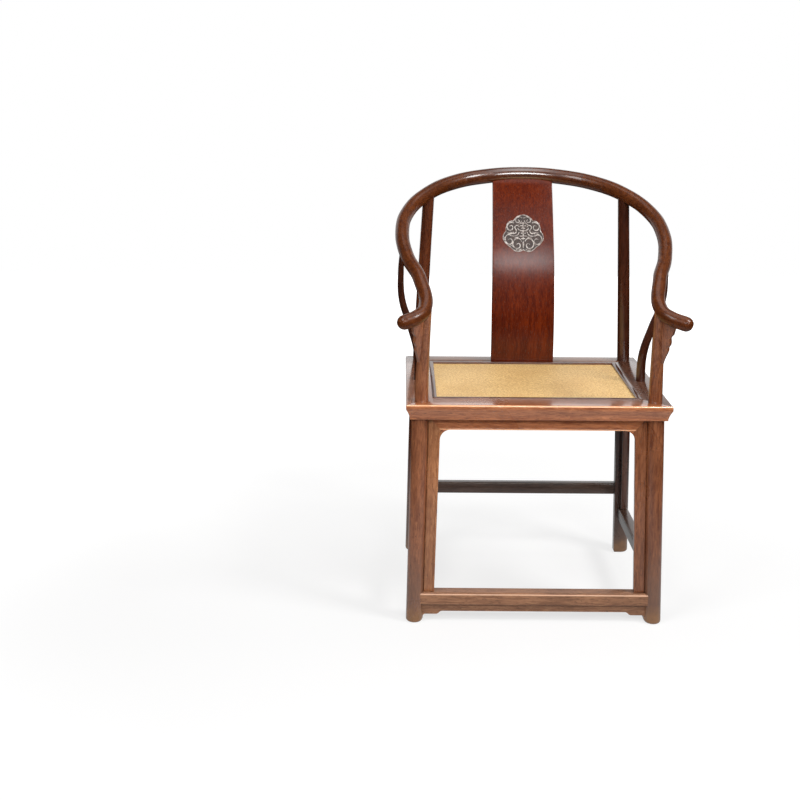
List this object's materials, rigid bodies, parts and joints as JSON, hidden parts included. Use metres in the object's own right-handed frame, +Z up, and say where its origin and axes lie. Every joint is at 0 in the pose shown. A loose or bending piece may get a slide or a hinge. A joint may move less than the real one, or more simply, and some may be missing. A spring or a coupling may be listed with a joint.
{
  "type": "horseshoe back armchair",
  "caption": "Horseshoe back armchair of polished dark hardwood: round crest rail running into out-turned hands, carved splat, woven cane seat, splayed legs with a footrest stretcher.",
  "frame": {"origin": "middle of the whole chair's box, on the floor", "axes": "+Z up, +Y from the front of the chair to its back, +X to the viewer's right from the front"},
  "size_m": [0.647, 0.621, 1.003],
  "materials": {
    "polished_rosewood": "polished, waxed, dark reddish brown with fine pores",
    "under_seat_wood": "planed, unpolished",
    "woven_cane": "fine golden woven cane",
    "palm_fibre": "coarse brown palm-fibre net",
    "bamboo_pin": "bamboo pins rubbed over with wax"
  },
  "bodies": {
    "root": {"back_apron": "polished_rosewood", "back_splat": "polished_rosewood", "cane_strip_back": "polished_rosewood", "cane_strip_front": "polished_rosewood", "cane_strip_left": "polished_rosewood", "cane_strip_pins": "bamboo_pin", "cane_strip_right": "polished_rosewood", "crest_rail_centre": "polished_rosewood", "crest_rail_hand_left": "polished_rosewood", "crest_rail_hand_right": "polished_rosewood", "crest_rail_shoulder_left": "polished_rosewood", "crest_rail_shoulder_right": "polished_rosewood", "footrest_apron": "polished_rosewood", "front_apron_stile_left": "polished_rosewood", "front_apron_stile_right": "polished_rosewood", "front_apron_top": "polished_rosewood", "front_leg_left": "polished_rosewood", "front_leg_right": "polished_rosewood", "rear_leg_left": "polished_rosewood", "rear_leg_right": "polished_rosewood", "scarf_wedges": "polished_rosewood", "seat_brace_left": "under_seat_wood", "seat_brace_right": "under_seat_wood", "seat_rail_back": "polished_rosewood", "seat_rail_front": "polished_rosewood", "seat_rail_left": "polished_rosewood", "seat_rail_right": "polished_rosewood", "seat_webbing": "palm_fibre", "side_apron_front_stile_left": "polished_rosewood", "side_apron_front_stile_right": "polished_rosewood", "side_apron_rear_stile_left": "polished_rosewood", "side_apron_rear_stile_right": "polished_rosewood", "side_apron_top_left": "polished_rosewood", "side_apron_top_right": "polished_rosewood", "side_post_left": "polished_rosewood", "side_post_right": "polished_rosewood", "spandrel_left": "polished_rosewood", "spandrel_right": "polished_rosewood", "stretcher_back": "polished_rosewood", "stretcher_front": "polished_rosewood", "stretcher_left": "polished_rosewood", "stretcher_right": "polished_rosewood", "woven_cane_seat": "woven_cane"}
  },
  "joints": []
}
